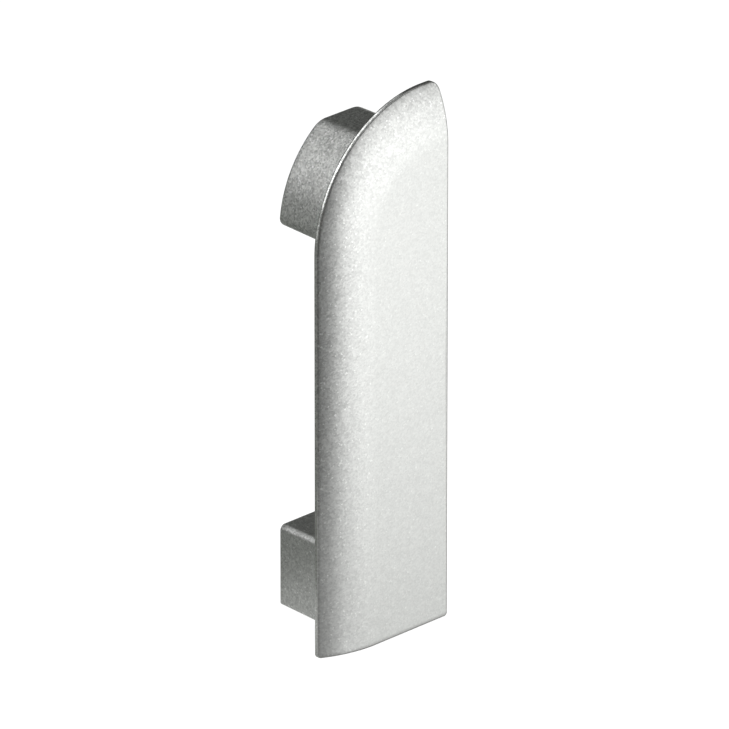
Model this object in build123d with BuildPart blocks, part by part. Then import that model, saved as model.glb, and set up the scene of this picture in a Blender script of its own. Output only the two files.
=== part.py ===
"""End cap for a tall, slim hollow profile: a crowned cover plate with two plug-in pegs behind it.

The cap is one moulding. Its cover plate closes the cut end of the profile, and its two pegs push into the
profile's lower and upper chambers. The plate is crowned along its room side and over its rounded top, and
is cut square along the bottom and along the wall side. Each peg is drafted, and cored from its tip.

Frame: millimetres, +Z up. The origin is the middle of the plate's back face, which seats on the profile's
cut end. The outer face looks along -Y, the pegs stand out along +Y, -X is the room side and +X the wall side.
"""

import os
from dataclasses import dataclass

from build123d import *

# Cover plate
CAP_HEIGHT = 60.0
CAP_DEPTH = 16.8
PLATE_THICKNESS = 2.3
RIM_DEPTH = 0.5
CROWN_WIDTH = 6.6
TOP_FLAT = 1.9
BOTTOM_CORNER_RADIUS = 0.4
TOP_CORNER_RADIUS = 1.0
EDGE_RADIUS = 0.2

# Both pegs: insets from the plate's room side, top and wall side, and draft angles in degrees
PEG_LENGTH = 7.5
PEG_ROOM_INSET = 2.0
PEG_WALL_INSET = 2.0
PEG_DRAFT = 0.8
PEG_TIP_RADIUS = 0.25
PEG_ROOT_RADIUS = 0.25

# The core that hollows each peg from its tip
PEG_SKIN = 1.6
CORE_FLOOR = 0.4
CORE_DRAFT = 1.0
CORE_CORNER_RADIUS = 0.5

# Lower peg: a box, measured up from the plate's bottom edge
LOWER_PEG_RISE = 2.7
LOWER_PEG_HEIGHT = 9.3
LOWER_PEG_BOTTOM_RADIUS = 0.35
LOWER_PEG_SHOULDER_RADIUS = 0.8
LOWER_PEG_WALL_SIDE_RADIUS = 0.8

# Upper peg: its room side runs parallel to the rounded top. It reaches from just above the level where that
# arc starts up to a drop below the plate's top edge
UPPER_PEG_RISE = 0.25
UPPER_PEG_DROP = 4.15
UPPER_PEG_BOTTOM_RADIUS = 1.1
UPPER_PEG_SHOULDER_RADIUS = 2.7
UPPER_PEG_WALL_SIDE_RADIUS = 2.4

# Places worked out from the sizes above
ROOM_X = -CAP_DEPTH / 2
WALL_X = CAP_DEPTH / 2
BOTTOM_Z = -CAP_HEIGHT / 2
TOP_Z = CAP_HEIGHT / 2
TOP_RADIUS = CAP_DEPTH - TOP_FLAT
ARC_X = ROOM_X + TOP_RADIUS
ARC_Z = TOP_Z - TOP_RADIUS


@dataclass(frozen=True)
class Peg:
    """A peg's level bottom and top, and the radii of its corners as seen from its tip."""

    bottom: float
    top: float
    bottom_radius: float
    shoulder_radius: float
    wall_side_radius: float


LOWER_PEG = Peg(
    BOTTOM_Z + LOWER_PEG_RISE,
    BOTTOM_Z + LOWER_PEG_RISE + LOWER_PEG_HEIGHT,
    LOWER_PEG_BOTTOM_RADIUS,
    LOWER_PEG_SHOULDER_RADIUS,
    LOWER_PEG_WALL_SIDE_RADIUS,
)
UPPER_PEG = Peg(
    ARC_Z + UPPER_PEG_RISE,
    TOP_Z - UPPER_PEG_DROP,
    UPPER_PEG_BOTTOM_RADIUS,
    UPPER_PEG_SHOULDER_RADIUS,
    UPPER_PEG_WALL_SIDE_RADIUS,
)


def rounded_outline(inset):
    """The cap seen from its outer face, drawn in by an inset on the room side and over the top."""
    room_side = ROOM_X + inset
    top = TOP_Z - inset
    with BuildSketch() as outline:
        with BuildLine():
            Polyline((room_side, ARC_Z), (room_side, BOTTOM_Z), (WALL_X, BOTTOM_Z), (WALL_X, top), (ARC_X, top))
            TangentArc((room_side, ARC_Z), (ARC_X, top), tangent=(0, 1))
        make_face()
    return outline.sketch


def plate_outline():
    """The whole outline with its three square corners eased."""
    square_cornered = rounded_outline(0)
    with BuildSketch() as outline:
        add(square_cornered)
        fillet(outline.vertices().group_by(Axis.Y)[0], radius=BOTTOM_CORNER_RADIUS)
        fillet(outline.vertices().group_by(Axis.X)[-1].sort_by(Axis.Y)[-1], radius=TOP_CORNER_RADIUS)
    return outline.sketch


def crown_section(plane, reach):
    """The plate cut across its rolled edge: the plane's x runs in from the edge, its y is the cap's own Y.

    The crown is one arc, which leaves the flat face at a tangent and meets the straight rim in a crisp line.
    """
    rim = (0, -RIM_DEPTH)
    crease = (CROWN_WIDTH, -PLATE_THICKNESS)
    with BuildSketch(plane) as section:
        with BuildLine():
            Polyline(rim, (0, 0), (reach, 0), (reach, -PLATE_THICKNESS), crease)
            TangentArc(crease, rim, tangent=(-1, 0))
        make_face()
    return section.sketch


def chamber_slice(peg, inset):
    """The rounded outline drawn in to the profile's chamber and cut off level at a peg's bottom and top."""
    chamber = rounded_outline(PEG_ROOM_INSET + inset)
    room_side = ROOM_X + PEG_ROOM_INSET + inset
    wall_side = WALL_X - PEG_WALL_INSET - inset
    height = peg.top - peg.bottom - 2 * inset
    with BuildSketch() as section:
        add(chamber)
        with Locations(((room_side + wall_side) / 2, (peg.bottom + peg.top) / 2)):
            Rectangle(wall_side - room_side, height, mode=Mode.INTERSECT)
    return section.sketch


def peg_section(peg):
    """The peg's section at its root, each corner with its own radius."""
    sharp_cornered = chamber_slice(peg, 0)
    with BuildSketch() as section:
        add(sharp_cornered)
        fillet(section.vertices().group_by(Axis.X)[-1], radius=peg.wall_side_radius)
        fillet(section.vertices().group_by(Axis.Y)[0].sort_by(Axis.X)[0], radius=peg.bottom_radius)
        fillet(section.vertices().group_by(Axis.Y)[-1].sort_by(Axis.X)[0], radius=peg.shoulder_radius)
    return section.sketch


def core_section(peg):
    """The core's mouth at the peg's tip, a skin's thickness inside the peg all round."""
    sharp_cornered = chamber_slice(peg, PEG_SKIN)
    with BuildSketch() as section:
        add(sharp_cornered)
        fillet(section.vertices(), radius=CORE_CORNER_RADIUS)
    return section.sketch


# The crown's section, where it starts up the room side, where it turns, and where it runs on to the wall side
side_section = crown_section(Plane(origin=(ROOM_X, 0, BOTTOM_Z), x_dir=(1, 0, 0), z_dir=(0, 0, 1)), CAP_DEPTH)
turn_section = crown_section(Plane(origin=(ROOM_X, 0, ARC_Z), x_dir=(1, 0, 0), z_dir=(0, 0, 1)), TOP_RADIUS)
top_section = crown_section(Plane(origin=(ARC_X, 0, TOP_Z), x_dir=(0, 0, -1), z_dir=(1, 0, 0)), TOP_RADIUS)
turn_axis = Axis((ARC_X, 0, ARC_Z), (0, 1, 0))

outline_sketch = plate_outline()
peg_sections = [peg_section(LOWER_PEG), peg_section(UPPER_PEG)]
core_sections = [core_section(LOWER_PEG), core_section(UPPER_PEG)]

with BuildPart() as end_cap:
    # Cover plate: the crown's section run up the room side, turned through the rounded top and run on
    extrude(side_section, amount=ARC_Z - BOTTOM_Z)
    revolve(turn_section, axis=turn_axis, revolution_arc=90)
    extrude(top_section, amount=TOP_FLAT)

    # Square corners eased through the plate, then the whole edge of the outer face rounded over
    with BuildSketch(Plane.XZ):
        add(outline_sketch)
    extrude(amount=PLATE_THICKNESS, mode=Mode.INTERSECT)
    side_faces = end_cap.faces().filter_by(lambda face: face.bounding_box().max.Y > -RIM_DEPTH / 2)
    face_edge = side_faces.edges().filter_by(lambda edge: edge.bounding_box().max.Y < -RIM_DEPTH / 2)
    fillet(face_edge, radius=EDGE_RADIUS)

    # Pegs, drafted from the seat towards their tips, with a lead-in round each tip and a fillet at each root
    with BuildSketch(Plane.XZ):
        add(peg_sections)
    extrude(amount=-PEG_LENGTH, taper=PEG_DRAFT)
    fillet(end_cap.faces().group_by(Axis.Y)[-1].edges(), radius=PEG_TIP_RADIUS)
    seat_face = end_cap.faces().filter_by(Plane.XZ).sort_by(lambda face: abs(face.center().Y))[0]
    root_edges = ShapeList(edge for wire in seat_face.inner_wires() for edge in wire.edges())
    fillet(root_edges, radius=PEG_ROOT_RADIUS)

    # Cores, drafted the other way, from the tips down to a floor just clear of the seat
    with BuildSketch(Plane.XZ.offset(-PEG_LENGTH)):
        add(core_sections)
    extrude(amount=PEG_LENGTH - CORE_FLOOR, taper=CORE_DRAFT, mode=Mode.SUBTRACT)

end_cap.part.label = "end_cap"

os.makedirs("parts", exist_ok=True)
export_step(end_cap.part, "parts/end_cap.step")
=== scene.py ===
"""Visual model of a silver-painted profile end cap: a crowned cover plate with two cored pegs behind it.

The cap is one closed surface. Lengths are in millimetres and go into the meshes in metres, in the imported
part's own frame: origin in the middle of the plate's seat, outer face along -Y, pegs along +Y, -X the room
side, +X the wall side, +Z up. The cap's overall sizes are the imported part's.
"""

import logging
import math
from dataclasses import dataclass, field, replace
from enum import Enum, IntEnum

import bmesh
import bpy
import numpy as np
from mathutils import Matrix, Vector
from mathutils.geometry import tessellate_polygon


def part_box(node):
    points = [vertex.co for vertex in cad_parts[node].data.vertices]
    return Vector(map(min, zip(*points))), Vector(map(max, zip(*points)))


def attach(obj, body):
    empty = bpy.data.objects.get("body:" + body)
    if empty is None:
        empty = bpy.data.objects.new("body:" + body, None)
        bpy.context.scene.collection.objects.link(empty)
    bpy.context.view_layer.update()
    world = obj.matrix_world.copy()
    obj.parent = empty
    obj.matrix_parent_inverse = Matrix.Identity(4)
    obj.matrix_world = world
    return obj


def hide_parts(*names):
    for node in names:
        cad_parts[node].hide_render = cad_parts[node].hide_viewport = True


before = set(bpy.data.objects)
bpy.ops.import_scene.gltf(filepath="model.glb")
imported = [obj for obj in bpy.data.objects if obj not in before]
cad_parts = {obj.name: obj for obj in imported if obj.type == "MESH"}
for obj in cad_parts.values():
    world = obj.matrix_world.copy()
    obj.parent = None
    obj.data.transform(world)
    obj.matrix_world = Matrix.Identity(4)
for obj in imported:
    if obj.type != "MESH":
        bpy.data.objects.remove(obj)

LOG = logging.getLogger("end_cap")
MILLIMETRE = 0.001
QUARTER = math.pi / 2

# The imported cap's box, from the plate's outer face to the pegs' tips, and the plate's top: the level run,
# and the radius of the turn that takes up the rest of its depth
LOW, HIGH = ([round(value / MILLIMETRE, 3) for value in corner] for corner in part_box("end_cap"))
TOP_FLAT = 1.9
TURN_RADIUS = HIGH[0] - LOW[0] - TOP_FLAT

# Inset over which a slope is measured, least corner radius, angle of a sharp edge in degrees, and the
# distance in metres under which two points are one
SLOPE_STEP = 0.01
LEAST_RADIUS = 0.02
SHARP_ANGLE = 32.0
MERGE_DISTANCE = 1e-7

# Powers that crowd points towards the wall side's top and towards the face's edge
WALL_CROWDING = 1.7
FACE_CROWDING = 1.15

Array = np.ndarray
Amount = Array | float
Fed = bpy.types.NodeSocket | float | tuple[float, ...]


class Side(Enum):
    """How the room side of a slice runs between its two corners."""

    STRAIGHT = "straight"
    TURNED = "turned"


class Run(IntEnum):
    """The four sides of a slice, each with the number of the corner that it starts from."""

    ROOM = 0
    BOTTOM = 1
    WALL = 2
    TOP = 3


def spread(first: Array, last: Array, share: Array) -> Array:
    """Values at shares of the way from first to last, one row a loop."""
    return first[:, None] + (last - first)[:, None] * share


def circle(x: Amount, z: Amount, radius: Array, angle: Array) -> Array:
    """Points on circles: the centre plus the radius times the angle's cosine and sine.

    Args:
        x: each loop's centre along X, or one for all.
        z: each loop's centre along Z, or one for all.
        radius: each loop's radius.
        angle: loops by angles, in radians.

    Returns:
        Array of loops by points by (x, z).
    """
    x, z, radius = (np.reshape(value, (-1, 1)) for value in (x, z, radius))
    return np.stack([x + radius * np.cos(angle), z + radius * np.sin(angle)], -1)


@dataclass(frozen=True)
class Turn:
    """The circle that the rounded top turns on, seen from the outer face."""

    x: float = LOW[0] + TURN_RADIUS
    z: float = HIGH[2] - TURN_RADIUS
    radius: float = TURN_RADIUS


@dataclass(frozen=True)
class Corner:
    """A slice's rounded corner at every inset: centre, radius, and first and last angle in radians."""

    x: Array
    z: Array
    radius: Array
    first: Array
    last: Array

    def arc(self, count: int) -> Array:
        """The corner's points at every inset, spread evenly from the first angle to the last."""
        angle = spread(self.first, self.last, np.linspace(0.0, 1.0, count))
        return circle(self.x, self.z, self.radius, angle)


@dataclass(frozen=True)
class Slice:
    """A four-cornered outline with its own radius at each corner, which can be drawn in by an inset.

    The corners go round in the order shoulder (room side, top), foot (room side, bottom), wall foot, wall
    top, and each is followed by the side that runs on from it.
    """

    left: float
    right: float
    bottom: float
    top: float
    radii: tuple[float, float, float, float]
    side: Side = Side.STRAIGHT
    turn: Turn = Turn()
    turn_radius: float = 0.0
    arc_points: tuple[int, int, int, int] = (14, 14, 10, 10)
    side_points: tuple[int, int, int, int] = (26, 22, 26, 22)

    def on_turn(self, radius: Array, z: Array, inset: Array) -> tuple[Array, Array]:
        """Where a corner's centre lies on a turned side: the corner's radius inside the side's circle.

        Args:
            radius: the corner's radius at each inset.
            z: the centre's height at each inset.
            inset: how far in from the drawn outline, one value for each loop.

        Returns:
            The centre along X, and its angle about the turn's own centre, in radians.
        """
        reach = self.turn_radius - inset
        x = self.turn.x - np.sqrt((reach - radius) ** 2 - (z - self.turn.z) ** 2)
        return x, np.arctan2(z - self.turn.z, x - self.turn.x)

    def corners(self, inset: Array) -> list[Corner]:
        """The four corners at every inset.

        A corner keeps its centre as the outline is drawn in, so its radius shrinks by the inset, down to the
        least radius.

        Args:
            inset: how far in from the drawn outline, one value for each loop.

        Returns:
            The corners in the slice's order.
        """
        left, right = self.left + inset, self.right - inset
        bottom, top = self.bottom + inset, self.top - inset
        shoulder, foot, wall_foot, wall_top = (np.maximum(r - inset, LEAST_RADIUS) for r in self.radii)
        shoulder_z, foot_z = top - shoulder, bottom + foot
        if self.side is Side.TURNED:
            shoulder_x, shoulder_end = self.on_turn(shoulder, shoulder_z, inset)
            foot_x, foot_start = self.on_turn(foot, foot_z, inset)
        else:
            shoulder_x, foot_x = left + shoulder, left + foot
            shoulder_end = foot_start = np.full_like(inset, math.pi)
        quarter = np.full_like(inset, QUARTER)
        return [
            Corner(shoulder_x, shoulder_z, shoulder, quarter, shoulder_end),
            Corner(foot_x, foot_z, foot, foot_start, 3 * quarter),
            Corner(right - wall_foot, bottom + wall_foot, wall_foot, 3 * quarter, 4 * quarter),
            Corner(right - wall_top, top - wall_top, wall_top, 0 * quarter, quarter),
        ]

    def shares(self, run: Run) -> Array:
        """Where a side's points lie between its two corners, as shares of the way."""
        share = np.linspace(0.0, 1.0, self.side_points[run] + 2)[1:-1]
        return 1 - (1 - share) ** WALL_CROWDING if run is Run.WALL else share

    def loops(self, inset: Array) -> Array:
        """The outline at each inset, as points that keep their places from loop to loop.

        A side is a straight line between its corners' arcs, and a turned room side is an arc about the
        turn's centre, its radius less the inset.

        Args:
            inset: how far in from the drawn outline, one value for each loop.

        Returns:
            Array of loops by points by (x, z).
        """
        corners = self.corners(inset)
        arcs = [corner.arc(count) for corner, count in zip(corners, self.arc_points)]
        parts: list[Array] = []
        for run in Run:
            after = (run + 1) % len(corners)
            share = self.shares(run)
            if run is Run.ROOM and self.side is Side.TURNED:
                angle = spread(corners[run].last, corners[after].first, share)
                points = circle(self.turn.x, self.turn.z, self.turn_radius - inset, angle)
            else:
                start, end = arcs[run][:, -1:], arcs[after][:, :1]
                points = start + (end - start) * share[:, None]
            parts += [arcs[run], points]
        return np.concatenate(parts, axis=1)


@dataclass(frozen=True)
class Crown:
    """The law of the outer face: how deep it stands from the seat at a distance in from the crowned edge."""

    rim_depth: float = 0.5
    width: float = 6.6
    thickness: float = -LOW[1]

    def depth(self, inward: Array) -> Array:
        """One arc that meets the flat face at a tangent and the rim in a line.

        Args:
            inward: distance in from the crowned edge.

        Returns:
            Depth of the face from the seat.
        """
        rise = self.thickness - self.rim_depth
        radius = (self.width**2 + rise**2) / (2 * rise)
        short = np.clip(self.width - inward, 0.0, self.width)
        return self.thickness - radius + np.sqrt(radius**2 - short**2)


@dataclass
class Rings:
    """Rings of points on their way over a form, with their edge mask for painted shade and their rim mask.
    """

    points: list[Array] = field(default_factory=list)
    edge: list[Array] = field(default_factory=list)
    rim: list[Array] = field(default_factory=list)

    def add(self, plan: Array, y: Amount, edge: Amount = 0.0, rim: Amount = 0.0) -> None:
        """Adds one ring or several.

        Args:
            plan: the points' (x, z), rings first where there are several.
            y: the points' distance along the pegs, for all or for each.
            edge: how much of a sharp edge the points are, from 0 to 1, which sets their painted edge shade.
            rim: how much of the plate's rim the points are, from 0 to 1.
        """
        shape, around = plan.shape[:-1], plan.shape[-2]
        points = np.stack([plan[..., 0], np.broadcast_to(y, shape), plan[..., 1]], -1)
        self.points.append(points.reshape(-1, around, 3))
        self.edge.append(np.broadcast_to(edge, shape).reshape(-1, around))
        self.rim.append(np.broadcast_to(rim, shape).reshape(-1, around))


@dataclass
class Skin:
    """The cap's surface as it grows: points, faces, and one value a point for each mask."""

    points: list[Array] = field(default_factory=list)
    edge: list[Array] = field(default_factory=list)
    rim: list[Array] = field(default_factory=list)
    faces: list[tuple[int, ...]] = field(default_factory=list)
    count: int = 0

    def add_patch(self, rings: Rings, pole: Array) -> Array:
        """Adds rings, each joined to the next with four-sided faces and the last to a pole with triangles.

        Args:
            rings: the rings, from the patch's border to its middle.
            pole: the point inside the last ring.

        Returns:
            The numbers of the points on the patch's border.
        """
        points = np.concatenate(rings.points)
        count, around = points.shape[:2]
        here = self.count + np.arange(count * around).reshape(count, around)
        there = np.roll(here, -1, axis=1)
        last = self.count + count * around
        quads = np.stack([here[:-1], there[:-1], there[1:], here[1:]], -1)
        fan = np.stack([here[-1], there[-1], np.full(around, last)], -1)
        self.faces.extend(map(tuple, quads.reshape(-1, 4).tolist()))
        self.faces.extend(map(tuple, fan.tolist()))
        self.points.append(np.vstack([points.reshape(-1, 3), pole]))
        self.edge.append(np.append(np.concatenate(rings.edge), 0.0))
        self.rim.append(np.append(np.concatenate(rings.rim), 0.0))
        self.count = last + 1
        return here[0]

    def fill(self, borders: list[Array]) -> None:
        """Fills the flat seat with triangles, worked out in its plane.

        Args:
            borders: the numbers of the points round the seat, and then of those round each hole in it.
        """
        points = np.concatenate(self.points)
        flat = [points[border][:, [0, 2, 1]] * (1, 1, 0) for border in borders]
        triangles = np.array(tessellate_polygon([list(map(Vector, ring.tolist())) for ring in flat]))
        self.faces.extend(map(tuple, np.concatenate(borders)[triangles].tolist()))

    def mesh(self, name: str) -> bpy.types.Mesh:
        """Makes the mesh, with the masks as attributes of its points.

        Args:
            name: the mesh's name.

        Returns:
            The new mesh, in metres.
        """
        mesh = bpy.data.meshes.new(name)
        mesh.from_pydata((np.concatenate(self.points) * MILLIMETRE).tolist(), [], self.faces)
        # The edge mask carries the painted edge shade, the rim mask the smoother rim
        for mask, values in (("edge", self.edge), ("rim", self.rim)):
            attribute = mesh.attributes.new(mask, "FLOAT", "POINT")
            attribute.data.foreach_set("value", np.concatenate(values).astype(np.float32))
        return mesh


@dataclass
class CoverPlate:
    """The crowned plate that covers the profile's cut end."""

    height: float = HIGH[2] - LOW[2]
    depth: float = HIGH[0] - LOW[0]
    corner_radius: float = 0.4
    top_corner_radius: float = 1.0
    edge_radius: float = 0.2
    # How far onto the face the painted edge shade fades out
    painted_shade_fade: float = 0.35
    back_edge_radius: float = 0.1
    # The most painted edge shade on the rounding at the seat
    back_edge_painted_shade: float = 0.5
    crown: Crown = Crown()
    turn: Turn = Turn()
    arc_points: tuple[int, int, int, int] = (110, 12, 12, 12)
    side_points: tuple[int, int, int, int] = (70, 150, 130, 14)
    back_rings: int = 3
    wall_rings: int = 3
    rounding_rings: int = 9
    face_rings: int = 95
    middle: tuple[float, float] = (1.6, -2.0)

    def outline(self) -> Slice:
        """The plate seen from its outer face, with the turn as its shoulder."""
        across, up = self.depth / 2, self.height / 2
        radii = (self.turn.radius, self.corner_radius, self.corner_radius, self.top_corner_radius)
        points = {"arc_points": self.arc_points, "side_points": self.side_points}
        return Slice(-across, across, -up, up, radii, **points)

    def face_depth(self, plan: Array) -> Array:
        """The face's depth from the seat.

        The distance in from the crowned edge is measured square to the room side below the turn's centre,
        square to the turn above it, and down from the top on the turn's wall side.

        Args:
            plan: points as (x, z).

        Returns:
            The crown's depth at each point.
        """
        x, z = plan[..., 0], plan[..., 1]
        from_turn = self.turn.radius - np.hypot(x - self.turn.x, z - self.turn.z)
        from_side = x + self.depth / 2
        from_top = self.height / 2 - z
        above = np.where(x < self.turn.x, from_turn, from_top)
        return self.crown.depth(np.where(z > self.turn.z, above, from_side))

    def build(self, skin: Skin) -> Array:
        """Adds the plate's wall, edge and face to the skin.

        The edge rounding is a quarter turn sheared along the face's slope, and its reach is the radius times
        the tangent of half the angle between the wall and the slope.

        Args:
            skin: the surface that the plate is added to.

        Returns:
            The numbers of the points round the seat.
        """
        border, inner = self.outline().loops(np.array([0.0, SLOPE_STEP]))
        into = (inner - border) / SLOPE_STEP
        slope = (self.face_depth(inner) - self.face_depth(border)) / SLOPE_STEP
        reach = self.edge_radius * np.tan((QUARTER - np.arctan(slope)) / 2)
        rings = Rings()
        self.add_wall(rings, border, into, self.face_depth(border) - reach)
        self.add_rounding(rings, border, into, reach)
        self.add_face(rings)
        return skin.add_patch(rings, np.array([self.middle[0], -self.crown.thickness, self.middle[1]]))

    def add_wall(self, rings: Rings, border: Array, into: Array, wall_end: Array) -> None:
        """Adds the small rounding at the seat, a quarter turn, and the wall from it to the edge rounding.

        Args:
            rings: the plate's rings.
            border: the outline's points as (x, z).
            into: the way in from each of them, for an inset of 1.
            wall_end: the wall's depth at each of them.
        """
        for share in np.linspace(0.0, 1.0, self.back_rings):
            turn = share * QUARTER
            plan = border + into * self.back_edge_radius * (1 - math.sin(turn))
            y = -self.back_edge_radius * (1 - math.cos(turn))
            # The seat's rounding gets a share of the painted edge shade
            rings.add(plan, y, edge=self.back_edge_painted_shade * share, rim=share)
        for share in np.linspace(0.0, 1.0, self.wall_rings + 2)[1:-1]:
            depth = self.back_edge_radius + (wall_end - self.back_edge_radius) * share
            rings.add(border, -depth, rim=1.0)

    def add_rounding(self, rings: Rings, border: Array, into: Array, reach: Array) -> None:
        """Adds the edge rounding between the wall and the face.

        Args:
            rings: the plate's rings.
            border: the outline's points as (x, z).
            into: the way in from each of them, for an inset of 1.
            reach: how far the rounding reaches in and down from each of them.
        """
        for share in np.linspace(0.0, 1.0, self.rounding_rings):
            turn = share * QUARTER
            plan = border + into * (reach * (1 - math.cos(turn)))[:, None]
            depth = self.face_depth(plan) - reach * (1 - math.sin(turn))
            # The painted edge shade grows round the rounding towards the face
            rings.add(plan, -depth, edge=math.sin(turn), rim=1 - share)

    def add_face(self, rings: Rings) -> None:
        """Adds the face, where each ring is the rounding's last one drawn towards the middle point.

        Args:
            rings: the plate's rings, up to the edge rounding.
        """
        start = rings.points[-1][-1][:, ::2]
        share = np.linspace(0.0, 1.0, self.face_rings + 2)[1:-1] ** FACE_CROWDING
        plan = start + (np.array(self.middle) - start) * share[:, None, None]
        away = np.linalg.norm(plan - start, axis=-1)
        # The painted edge shade fades out over the face near the rounding
        rings.add(plan, -self.face_depth(plan), edge=np.clip(1 - away / self.painted_shade_fade, 0.0, 1.0))


@dataclass
class Peg:
    """A drafted peg with a lead-in round its tip, a fillet at its root and a core sunk from its tip."""

    name: str
    root: Slice
    mouth: Slice
    length: float = HIGH[1]
    draft: float = math.radians(0.8)
    tip_radius: float = 0.25
    root_radius: float = 0.25
    core_floor: float = 0.4
    core_draft: float = math.radians(1.0)
    mouth_radius: float = 0.07
    floor_radius: float = 0.12
    outer_steps: tuple[int, int] = (7, 14)
    core_steps: tuple[int, int] = (5, 10)
    land_steps: int = 5

    def outside(self) -> tuple[Array, Array, Array]:
        """The loops from the seat up to the inside of the lead-in.

        The root fillet is a quarter turn out from the wall, the wall draws in by the draft's tangent for
        each millimetre, and the lead-in is a quarter turn in towards the tip.

        Returns:
            Inset from the root slice, y and edge mask of each loop.
        """
        turn = np.linspace(0.0, QUARTER, self.outer_steps[0])
        fillet_inset = -self.root_radius * (1 - np.sin(turn))
        fillet_y = self.root_radius * (1 - np.cos(turn))
        wall_y = np.linspace(self.root_radius, self.length - self.tip_radius, self.outer_steps[1])[1:-1]
        tip_inset = self.tip_radius * (1 - np.cos(turn))
        tip_y = self.length - self.tip_radius * (1 - np.sin(turn))
        y = np.concatenate([fillet_y, wall_y, tip_y])
        inset = np.concatenate([fillet_inset, 0 * wall_y, tip_inset]) + y * math.tan(self.draft)
        # The lead-in's edge mask, for the painted edge shade
        edge = np.concatenate([0 * fillet_y, 0 * wall_y, np.sin(2 * turn)])
        return inset, y, edge

    def inside(self) -> tuple[Array, Array, Array]:
        """The loops from the mouth's edge down to the core's floor.

        The lip and the floor's corner are quarter turns, and the wall between them draws in by the core
        draft's tangent for each millimetre down.

        Returns:
            Inset from the mouth slice, y and edge mask of each loop.
        """
        turn = np.linspace(0.0, QUARTER, self.core_steps[0])
        lip_inset = -self.mouth_radius * (1 - np.sin(turn))
        lip_y = self.length - self.mouth_radius * (1 - np.cos(turn))
        wall_start, wall_end = self.length - self.mouth_radius, self.core_floor + self.floor_radius
        wall_y = np.linspace(wall_start, wall_end, self.core_steps[1])[1:-1]
        floor_inset = self.floor_radius * (1 - np.cos(turn))
        floor_y = self.core_floor + self.floor_radius * (1 - np.sin(turn))
        y = np.concatenate([lip_y, wall_y, floor_y])
        drawn_in = (self.length - y) * math.tan(self.core_draft)
        inset = np.concatenate([lip_inset, 0 * wall_y, floor_inset]) + drawn_in
        # The lip's edge mask, for the painted edge shade
        edge = np.concatenate([np.sin(2 * turn), 0 * wall_y, 0 * floor_y])
        return inset, y, edge

    def build(self, skin: Skin) -> Array:
        """Adds the peg to the skin: its outside, the land round the mouth, and the core down to its floor.

        Args:
            skin: the surface that the peg is added to.

        Returns:
            The numbers of the points round the peg's root.
        """
        inset, outer_y, outer_edge = self.outside()
        outer = self.root.loops(inset)
        inset, inner_y, inner_edge = self.inside()
        inner = self.mouth.loops(inset)
        share = np.linspace(0.0, 1.0, self.land_steps)[1:-1, None, None]
        rings = Rings()
        rings.add(outer, outer_y[:, None], outer_edge[:, None])
        rings.add(outer[-1] + (inner[0] - outer[-1]) * share, self.length)
        rings.add(inner, inner_y[:, None], inner_edge[:, None])
        return skin.add_patch(rings, rings.points[-1][-1].mean(axis=0))


@dataclass
class EndCap:
    """The whole moulding as one closed surface. Radii are in a slice's order of corners."""

    plate: CoverPlate = field(default_factory=CoverPlate)
    room_inset: float = 2.0
    wall_inset: float = 2.0
    lower_rise: float = 2.7
    lower_height: float = 9.3
    lower_radii: tuple[float, float, float, float] = (0.8, 0.35, 0.8, 0.8)
    upper_rise: float = 0.25
    upper_drop: float = 4.15
    upper_radii: tuple[float, float, float, float] = (2.7, 1.1, 2.4, 2.4)
    peg_skin: float = 1.6
    core_corner: float = 0.5

    def core_mouth(self, root: Slice) -> Slice:
        """The mouth of a peg's core: the peg's root slice less its skin all round.

        Args:
            root: the peg's root slice.

        Returns:
            The mouth's slice.
        """
        return replace(
            root,
            left=root.left + self.peg_skin,
            right=root.right - self.peg_skin,
            bottom=root.bottom + self.peg_skin,
            top=root.top - self.peg_skin,
            radii=(self.core_corner,) * 4,
            turn_radius=root.turn_radius - self.peg_skin,
        )

    def pegs(self) -> list[Peg]:
        """The box-shaped lower peg, and the upper peg that follows the rounded top.

        Returns:
            Both pegs, the lower one first.
        """
        turn = self.plate.turn
        left = -self.plate.depth / 2 + self.room_inset
        right = self.plate.depth / 2 - self.wall_inset
        lower_bottom = -self.plate.height / 2 + self.lower_rise
        lower = Slice(left, right, lower_bottom, lower_bottom + self.lower_height, self.lower_radii)
        upper_bottom, upper_top = turn.z + self.upper_rise, self.plate.height / 2 - self.upper_drop
        upper_reach = turn.radius - self.room_inset
        upper = Slice(left, right, upper_bottom, upper_top, self.upper_radii, Side.TURNED, turn, upper_reach)
        roots = {"lower_peg": lower, "upper_peg": upper}
        return [Peg(name, root, self.core_mouth(root)) for name, root in roots.items()]

    def build(self, material: bpy.types.Material) -> bpy.types.Object:
        """Makes the cap's mesh and object.

        The plate, both pegs and the seat between them share their border points, so the surface is closed.

        Args:
            material: the finish that the cap is painted with.

        Returns:
            The cap's object, at the origin.
        """
        skin = Skin()
        borders = [self.plate.build(skin)]
        LOG.info("cover_plate: %d points round, %.2f mm thick", len(borders[0]), self.plate.crown.thickness)
        for peg in self.pegs():
            borders.append(peg.build(skin))
            LOG.info("%s: %d points round, %.2f mm long", peg.name, len(borders[-1]), peg.length)
        skin.fill(borders)
        mesh = skin.mesh("end_cap_skin")
        turn_outwards(mesh)
        write_slant(mesh)
        mesh.shade_smooth()
        mesh.set_sharp_from_angle(angle=math.radians(SHARP_ANGLE))
        mesh.materials.append(material)
        cap = bpy.data.objects.new("end_cap_skin", mesh)
        bpy.context.scene.collection.objects.link(cap)
        return cap


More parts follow.
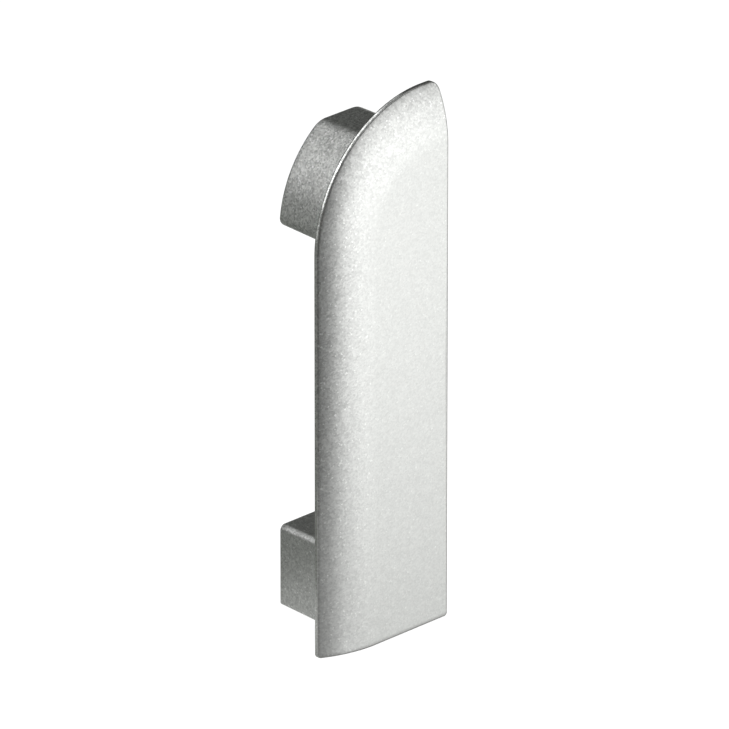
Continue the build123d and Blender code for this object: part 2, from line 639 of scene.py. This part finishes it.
def turn_outwards(mesh: bpy.types.Mesh) -> None:
    """Joins doubled points, makes every face point outwards, and reports whether the surface is closed.

    Args:
        mesh: a mesh whose faces may point either way.
    """
    sheet = bmesh.new()
    sheet.from_mesh(mesh)
    bmesh.ops.remove_doubles(sheet, verts=sheet.verts, dist=MERGE_DISTANCE)
    bmesh.ops.recalc_face_normals(sheet, faces=sheet.faces)
    open_edges = sum(not edge.is_manifold for edge in sheet.edges)
    LOG.info("open or shared edges: %d, volume %.1f mm3", open_edges, sheet.calc_volume() / MILLIMETRE**3)
    sheet.to_mesh(mesh)
    sheet.free()


def write_slant(mesh: bpy.types.Mesh) -> None:
    """Writes the slant attribute: the sine of the angle between a point's normal and the pegs' direction.

    Args:
        mesh: a mesh whose normals point outwards.
    """
    normals = np.empty((len(mesh.vertices), 3), np.float32)
    mesh.vertex_normals.foreach_get("vector", normals.ravel())
    slant = mesh.attributes.new("slant", "FLOAT", "POINT")
    slant.data.foreach_set("value", np.sqrt(np.clip(1 - normals[:, 1] ** 2, 0, 1)))


# The socket types of the node groups
NUMBER = "NodeSocketFloat"
VECTOR = "NodeSocketVector"


class Wiring:
    """A node tree being wired up: makes nodes, sets their values and joins their sockets."""

    def __init__(self, tree: bpy.types.NodeTree) -> None:
        """Keeps the tree that the nodes go into."""
        self.tree = tree

    def node(self, kind: str, settings: dict[str, object] | None = None, **values: Fed) -> bpy.types.Node:
        """Makes a node.

        Args:
            kind: the node's Blender type.
            settings: properties of the node itself.
            values: its enabled inputs by name, with underscores for spaces, and what goes into each.

        Returns:
            The new node.
        """
        node = self.tree.nodes.new(kind)
        for name, setting in (settings or {}).items():
            setattr(node, name, setting)
        enabled = {socket.name: socket for socket in reversed(node.inputs) if socket.enabled}
        for name, value in values.items():
            self.feed(enabled[name.replace("_", " ")], value)
        return node

    def feed(self, socket: bpy.types.NodeSocket, value: Fed) -> None:
        """Links an output into an input, or sets the input's own value.

        Args:
            socket: the input.
            value: another node's output, or a number or a colour.
        """
        if isinstance(value, bpy.types.NodeSocket):
            self.tree.links.new(value, socket)
        else:
            socket.default_value = value

    def step(self, kind: str, settings: dict[str, object], values: tuple[Fed, ...]) -> bpy.types.NodeSocket:
        """One step of a calculation, by a node whose inputs go by their order.

        Args:
            kind: the node's Blender type.
            settings: properties of the node itself.
            values: what goes into its inputs.

        Returns:
            The result.
        """
        node = self.node(kind, settings)
        for socket, value in zip((socket for socket in node.inputs if socket.enabled), values):
            self.feed(socket, value)
        return next(socket for socket in node.outputs if socket.enabled)

    def math(self, operation: str, *values: Fed) -> bpy.types.NodeSocket:
        """One step of arithmetic on numbers."""
        return self.step("ShaderNodeMath", {"operation": operation}, values)

    def vector(self, operation: str, *values: Fed) -> bpy.types.NodeSocket:
        """One step of arithmetic on vectors."""
        return self.step("ShaderNodeVectorMath", {"operation": operation}, values)

    def mix(self, *values: Fed) -> bpy.types.NodeSocket:
        """The second and third value, two colours, mixed by the first."""
        return self.step("ShaderNodeMix", {"data_type": "RGBA"}, values)

    def smooth(self, value: Fed, low: float, high: float) -> bpy.types.NodeSocket:
        """A value eased from 0 at low to 1 at high."""
        settings = {"interpolation_type": "SMOOTHSTEP"}
        return self.node("ShaderNodeMapRange", settings, Value=value, From_Min=low, From_Max=high).outputs[0]

    def attribute(self, name: str) -> bpy.types.NodeSocket:
        """One of the mesh's masks."""
        return self.node("ShaderNodeAttribute", {"attribute_name": name}).outputs["Fac"]

    def place(self) -> bpy.types.NodeSocket:
        """The place on the object, in millimetres."""
        return self.vector("SCALE", self.node("ShaderNodeTexCoord").outputs["Object"], 1 / MILLIMETRE)


class Group(Wiring):
    """A shader node group being wired up, with numbers as its inputs."""

    def __init__(self, name: str, inputs: dict[str, float], outputs: dict[str, str]) -> None:
        """Makes the group, and keeps what it is given and what it puts out.

        Args:
            name: the group's name.
            inputs: each input's value.
            outputs: each output's socket type.
        """
        super().__init__(bpy.data.node_groups.new(name, "ShaderNodeTree"))
        sockets = self.tree.interface
        for label, value in inputs.items():
            sockets.new_socket(label, in_out="INPUT", socket_type=NUMBER).default_value = value
        for label, kind in outputs.items():
            sockets.new_socket(label, in_out="OUTPUT", socket_type=kind)
        self.given = self.node("NodeGroupInput").outputs
        self.out = self.node("NodeGroupOutput").inputs

    def cells(self, place: bpy.types.NodeSocket, size: str) -> bpy.types.NodeSocket:
        """A place counted in one of the group's given sizes."""
        return self.vector("SCALE", place, self.math("DIVIDE", 1.0, self.given[size]))


def flake_group() -> bpy.types.NodeTree:
    """Aluminium flakes lying in the paint, each with its own brightness and its own slight lean.

    The surface is cut into cells at two sizes, flakes and clumps of them. The shade, from -1 to 1, is the
    weighted mean of both cells' random numbers. The normal is the surface's plus the lean times each cell's
    random vector. The glint, a painted glint for flakes that catch a lamp, is 1 in the few flakes whose
    random number is above the rarity.

    Returns:
        The node group.
    """
    inputs = {"Flake Size": 0.1, "Clump Size": 0.3, "Clump Share": 0.4, "Lean": 0.03, "Rarity": 0.97}
    group = Group("metal_flakes", inputs, {"Normal": VECTOR, "Shade": NUMBER, "Painted Glint": NUMBER})
    place = group.place()
    normal = group.node("ShaderNodeNewGeometry").outputs["Normal"]
    shades: list[bpy.types.NodeSocket] = []
    chances: list[bpy.types.NodeSocket] = []
    for size in ("Flake Size", "Clump Size"):
        cells = group.cells(place, size)
        voronoi = group.node("ShaderNodeTexVoronoi", {"feature": "F1"}, Vector=cells, Scale=1.0)
        color = voronoi.outputs["Color"]
        lean = group.vector("SUBTRACT", color, (0.5, 0.5, 0.5))
        normal = group.vector("ADD", normal, group.vector("SCALE", lean, group.given["Lean"]))
        parts = group.node("ShaderNodeSeparateColor", Color=color).outputs
        shades.append(group.math("MULTIPLY_ADD", parts["Red"], 2.0, -1.0))
        chances.append(parts["Green"])
    flake, clump = shades
    toward_clump = group.math("MULTIPLY", group.math("SUBTRACT", clump, flake), group.given["Clump Share"])
    group.feed(group.out["Normal"], group.vector("NORMALIZE", normal))
    group.feed(group.out["Shade"], group.math("ADD", flake, toward_clump))
    # Painted glint: the few flakes that are painted brighter
    group.feed(group.out["Painted Glint"], group.math("GREATER_THAN", chances[0], group.given["Rarity"]))
    return group.tree


def mottle_group() -> bpy.types.NodeTree:
    """Cloudy lighter and darker patches from a sprayed coat: noise moved and scaled to run from -1 to 1.

    Returns:
        The node group.
    """
    group = Group("spray_mottle", {"Patch Size": 2.0}, {"Cloud": NUMBER})
    cells = group.cells(group.place(), "Patch Size")
    noise = group.node("ShaderNodeTexNoise", Vector=cells, Scale=1.0, Detail=3.0).outputs["Fac"]
    cloud = group.math("MULTIPLY", group.math("SUBTRACT", noise, 0.5), 2.0)
    group.feed(group.out["Cloud"], cloud)
    return group.tree


@dataclass(frozen=True)
class SilverPaint:
    """Sprayed silver paint with aluminium flakes. Sizes are in millimetres.

    The grain is how far a flake's brightness strays from the paint's, as a share of it. The flakes are the
    paint's own, but the grain's growth from the level faces to the steep ones, and up from the foot, is
    painted
    light: weaker grain where the light falls broad, on the level faces and near the floor. A painted glint
    adds its gain times the grain.
    """

    color: tuple[float, float, float] = (0.717, 0.724, 0.71)
    roughness: float = 0.38
    rim_roughness: float = 0.2
    flake_size: float = 0.17
    clump_size: float = 0.32
    clump_share: float = 0.36
    lean: float = 0.012
    # Painted glints: how rare the flakes painted brighter are, and how much brighter
    painted_glint_rarity: float = 0.97
    painted_glint_gain: float = 1.5385
    # Grain on level and steep faces and its share at the foot, painted weaker where light falls broad
    level_grain: float = 0.09
    steep_grain: float = 0.31
    foot_share: float = 0.42
    foot_reach: tuple[float, float] = (-30.0, 3.0)
    # Painted edge shade: how much darker the edges round the level faces are painted
    painted_edge_shade: float = 0.3
    mottle: float = 0.008

    def flakes(self, wire: Wiring) -> bpy.types.Node:
        """Places the flake group in the material with this paint's values.

        Args:
            wire: the material's wiring.

        Returns:
            The group's node.
        """
        values = {
            "Flake_Size": self.flake_size,
            "Clump_Size": self.clump_size,
            "Clump_Share": self.clump_share,
            "Lean": self.lean,
            "Rarity": self.painted_glint_rarity,
        }
        return wire.node("ShaderNodeGroup", {"node_tree": flake_group()}, **values)

    def grain(self, wire: Wiring, slant: bpy.types.NodeSocket) -> bpy.types.NodeSocket:
        """How strong the grain is: the level grain, plus the slant times the steep grain at that height.

        Args:
            wire: the material's wiring.
            slant: how steep the surface stands to the plate's face.

        Returns:
            The grain.
        """
        height = wire.node("ShaderNodeSeparateXYZ", Vector=wire.place()).outputs["Z"]
        # Weaker grain towards the foot, painted for the broader light near the floor
        at_foot = self.steep_grain * self.foot_share
        above_foot = wire.smooth(height, *self.foot_reach)
        steep = wire.math("MULTIPLY_ADD", above_foot, self.steep_grain - at_foot, at_foot)
        return wire.math("MULTIPLY_ADD", slant, steep, self.level_grain)

    def brightness(self, wire: Wiring, flakes: bpy.types.Node) -> bpy.types.NodeSocket:
        """What the paint's colour is multiplied by: 1 plus the flakes and the mottle, less at the edges.

        Only the edges round the level faces get the painted shade, so the edge mask is taken times 1 less
        the slant. The flakes bring painted glints as well as their own grain.

        Args:
            wire: the material's wiring.
            flakes: the flake group's node.

        Returns:
            The factor.
        """
        slant = wire.attribute("slant")
        # Each flake's own shade, plus the painted glints
        shade = wire.math("MULTIPLY_ADD", flakes.outputs["Painted Glint"], self.painted_glint_gain, flakes.outputs["Shade"])
        speckled = wire.math("MULTIPLY_ADD", self.grain(wire, slant), shade, 1.0)
        cloud = wire.node("ShaderNodeGroup", {"node_tree": mottle_group()}).outputs["Cloud"]
        clouded = wire.math("MULTIPLY_ADD", cloud, self.mottle, speckled)
        # Painted shade on the edges round the level faces
        painted_level_edge_shade = wire.math("MULTIPLY", wire.attribute("edge"), wire.math("SUBTRACT", 1.0, slant))
        kept = wire.math("MULTIPLY_ADD", painted_level_edge_shade, -self.painted_edge_shade, 1.0)
        return wire.math("MULTIPLY", clouded, kept)

    def build(self) -> bpy.types.Material:
        """Makes the material: flakes, painted glints, mottle and painted edge shade in the colour, leans in
        the normal, smoother along the rim.

        Returns:
            The material.
        """
        material = bpy.data.materials.new("silver_paint")
        material.use_nodes = True
        wire = Wiring(material.node_tree)
        flakes = self.flakes(wire)
        smoother = wire.math("MULTIPLY", wire.attribute("rim"), self.rim_roughness - self.roughness)
        shader = material.node_tree.nodes["Principled BSDF"].inputs
        shader["Metallic"].default_value = 1.0
        wire.feed(shader["Base Color"], wire.vector("SCALE", self.color, self.brightness(wire, flakes)))
        wire.feed(shader["Roughness"], wire.math("ADD", smoother, self.roughness))
        wire.feed(shader["Normal"], flakes.outputs["Normal"])
        return material


@dataclass(frozen=True)
class Camera:
    """Where the cap is seen from: degrees, millimetres, and the lens for a sensor 36 mm wide."""

    azimuth: float = -43.597
    elevation: float = 24.708
    distance: float = 1226.9
    target: tuple[float, float, float] = (-1.305, 0.0, 0.967)
    lens: float = 592.6
    sensor_width: float = 36.0
    nearest: float = 10.0
    furthest: float = 20000.0

    def build(self) -> None:
        """Makes the camera, looking at its target along the azimuth and elevation."""
        data = bpy.data.cameras.new("camera")
        data.lens, data.sensor_width = self.lens, self.sensor_width
        data.clip_start, data.clip_end = self.nearest * MILLIMETRE, self.furthest * MILLIMETRE
        camera = bpy.data.objects.new("camera", data)
        turn, rise = math.radians(self.azimuth), math.radians(self.elevation)
        level = Vector((math.sin(turn), -math.cos(turn), 0.0)) * math.cos(rise)
        back = level + Vector((0.0, 0.0, math.sin(rise)))
        camera.location = (Vector(self.target) + back * self.distance) * MILLIMETRE
        camera.rotation_euler = (-back).to_track_quat("-Z", "Y").to_euler()
        bpy.context.scene.collection.objects.link(camera)
        bpy.context.scene.camera = camera
        LOG.info("camera: %.1f mm away with a lens of %.1f mm", self.distance, self.lens)


@dataclass(frozen=True)
class Softbox:
    """A rectangular soft light at a place, facing an aim, its height along a direction. Millimetres."""

    name: str
    place: tuple[float, float, float]
    aim: tuple[float, float, float]
    along: tuple[float, float, float]
    width: float
    height: float
    radiance: float

    def build(self) -> None:
        """Makes the light. Its power is its radiance times its area times pi."""
        data = bpy.data.lights.new(self.name, "AREA")
        data.shape = "RECTANGLE"
        data.size, data.size_y = self.width * MILLIMETRE, self.height * MILLIMETRE
        data.energy = self.radiance * math.pi * data.size * data.size_y
        light = bpy.data.objects.new(self.name, data)
        out = (Vector(self.place) - Vector(self.aim)).normalized()
        across = Vector(self.along).cross(out).normalized()
        light.matrix_world = Matrix((across, out.cross(across), out)).transposed().to_4x4()
        light.location = Vector(self.place) * MILLIMETRE
        light.visible_camera = False
        bpy.context.scene.collection.objects.link(light)
        LOG.info("%s: radiance %.2f", self.name, self.radiance)


# What the lights are aimed at, and the directions that their heights run along
MIDDLE = (0.0, 0.0, 0.0)
ROUNDED_TOP = (0.0, 0.0, 20.0)
UPRIGHT = (0.0, 0.0, 1.0)
INWARD = (0.0, 1.0, 0.0)

# The key light on the outer face, in three panels
KEY_LIGHTS = (
    Softbox("key_light", (57.6, -105.3, 0.0), MIDDLE, UPRIGHT, 149.0, 225.0, 0.785),
    Softbox("key_core", (50.3, -107.9, 0.0), MIDDLE, UPRIGHT, 122.0, 130.0, 0.565),
    Softbox("key_left", (16.5, -117.7, 16.7), MIDDLE, UPRIGHT, 56.0, 90.0, 0.22),
)

# Strips that draw the bright rim round the turn, and a panel that softens the edge beside it
RIM_LIGHTS = (
    Softbox("strip_low", (-199.5, 197.4, 126.1), ROUNDED_TOP, (-0.469, 0.0, -0.883), 34.0, 160.0, 2.4),
    Softbox("strip_foot", (-219.0, 197.4, -5.0), ROUNDED_TOP, (-0.1, 0.0, -0.995), 26.0, 80.0, 0.65),
    Softbox("strip_edge", (-96.0, -37.0, 80.0), ROUNDED_TOP, (-0.53, 0.0, -0.85), 80.0, 120.0, 0.14),
    Softbox("strip_high", (-81.0, 197.4, 230.9), ROUNDED_TOP, (-0.934, 0.0, -0.358), 34.0, 261.0, 2.1),
    Softbox("strip_top", (75.3, 197.4, 233.0), ROUNDED_TOP, (-0.943, 0.0, 0.334), 34.0, 110.0, 0.62),
)

# Fills for the back, the wall side and the top, and the floor's glow on the crown's foot and the lower peg
FILL_LIGHTS = (
    Softbox("back_fill", (170.0, 230.0, -90.0), MIDDLE, UPRIGHT, 260.0, 220.0, 0.6),
    Softbox("side_fill", (250.0, 30.0, 20.0), MIDDLE, UPRIGHT, 180.0, 130.0, 0.45),
    Softbox("top_light", (0.0, -23.0, 249.0), ROUNDED_TOP, INWARD, 320.0, 170.0, 0.35),
    Softbox("floor_front", (-26.0, -22.0, -31.0), (-26.0, -22.0, 0.0), INWARD, 44.0, 50.0, 0.17),
    Softbox("floor_back", (-13.0, 8.0, -31.0), (-13.0, 8.0, 0.0), INWARD, 16.0, 18.0, 0.24),
)


@dataclass(frozen=True)
class PaleFloor:
    """The floor's finish: matt, with a glow that only the camera sees."""

    color: tuple[float, float, float, float] = (0.8, 0.8, 0.8, 1.0)
    glow: float = 0.9

    def build(self) -> bpy.types.Material:
        """Makes the material: a matt surface and the glow, added together.

        Returns:
            The material.
        """
        material = bpy.data.materials.new("pale_floor")
        material.use_nodes = True
        nodes = material.node_tree.nodes
        nodes.remove(nodes["Principled BSDF"])
        wire = Wiring(material.node_tree)
        diffuse = wire.node("ShaderNodeBsdfDiffuse", Color=self.color).outputs[0]
        seen = wire.node("ShaderNodeLightPath").outputs["Is Camera Ray"]
        strength = wire.math("MULTIPLY", seen, self.glow)
        glow = wire.node("ShaderNodeEmission", Strength=strength).outputs[0]
        surface = wire.step("ShaderNodeAddShader", {}, (diffuse, glow))
        wire.feed(nodes["Material Output"].inputs["Surface"], surface)
        return material


@dataclass(frozen=True)
class Studio:
    """A pale floor, a surround that is white to the camera, and the lights.

    For what lights the cap the surround is grey: brighter below the horizon than above it, and darker round
    one direction, the dark side. The reaches are where those changes start and end: the first a direction's
    rise, the second the cosine of its angle to the dark side.
    """

    floor_height: float = LOW[2]
    floor_reach: float = 1500.0
    floor_finish: PaleFloor = PaleFloor()
    surround_below: float = 0.2
    surround_above: float = 0.077
    surround_tint: tuple[float, float, float, float] = (0.965, 1.0, 0.945, 1.0)
    white: tuple[float, float, float, float] = (1.0, 1.0, 1.0, 1.0)
    horizon_reach: tuple[float, float] = (-0.15, 0.15)
    dark_side: tuple[float, float, float] = (-0.317, -0.871, -0.375)
    dark_reach: tuple[float, float] = (0.55, 0.95)
    dark_share: float = 0.75

    def floor(self) -> None:
        """Makes the floor, which the cap's bottom edge stands on and which doesn't light the cap."""
        reach, height = self.floor_reach * MILLIMETRE, self.floor_height * MILLIMETRE
        corners = [(x * reach, y * reach, height) for x, y in ((-1, -1), (1, -1), (1, 1), (-1, 1))]
        mesh = bpy.data.meshes.new("floor")
        mesh.from_pydata(corners, [], [(0, 1, 2, 3)])
        mesh.materials.append(self.floor_finish.build())
        floor = bpy.data.objects.new("floor", mesh)
        floor.visible_glossy = floor.visible_diffuse = floor.visible_shadow = False
        bpy.context.scene.collection.objects.link(floor)
        LOG.info("floor: %.1f mm below the cap's middle", -self.floor_height)

    def world(self) -> None:
        """Makes the surround: white where the camera looks past the floor, and the graded grey elsewhere."""
        world = bpy.data.worlds.new("surround")
        world.use_nodes = True
        bpy.context.scene.world = world
        wire = Wiring(world.node_tree)
        seen = wire.node("ShaderNodeLightPath").outputs["Is Camera Ray"]
        direction = wire.node("ShaderNodeTexCoord").outputs["Generated"]
        height = wire.node("ShaderNodeSeparateXYZ", Vector=direction).outputs["Z"]
        rise = wire.smooth(height, *self.horizon_reach)
        change = self.surround_above - self.surround_below
        even = wire.math("MULTIPLY_ADD", rise, change, self.surround_below)
        darkness = wire.smooth(wire.vector("DOT_PRODUCT", direction, self.dark_side), *self.dark_reach)
        grey = wire.math("MULTIPLY", even, wire.math("MULTIPLY_ADD", darkness, -self.dark_share, 1.0))
        to_white = wire.math("MULTIPLY", seen, wire.math("SUBTRACT", 1.0, grey))
        background = world.node_tree.nodes["Background"].inputs
        wire.feed(background["Color"], wire.mix(seen, self.surround_tint, self.white))
        wire.feed(background["Strength"], wire.math("ADD", grey, to_white))

    def build(self) -> None:
        """Sets the floor, the surround and the lights up."""
        bpy.context.scene.view_settings.view_transform = "Standard"
        self.floor()
        self.world()
        for light in (*KEY_LIGHTS, *RIM_LIGHTS, *FILL_LIGHTS):
            light.build()


def main() -> None:
    """Builds the cap, the camera and the studio in order."""
    logging.basicConfig(level=logging.INFO, format="%(name)s: %(message)s")
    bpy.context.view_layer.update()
    cap = EndCap().build(SilverPaint().build())
    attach(cap, "root")
    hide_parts("end_cap")
    LOG.info("%s: %d points, %d faces", cap.name, len(cap.data.vertices), len(cap.data.polygons))
    Camera().build()
    Studio().build()


if __name__ == "__main__":
    main()
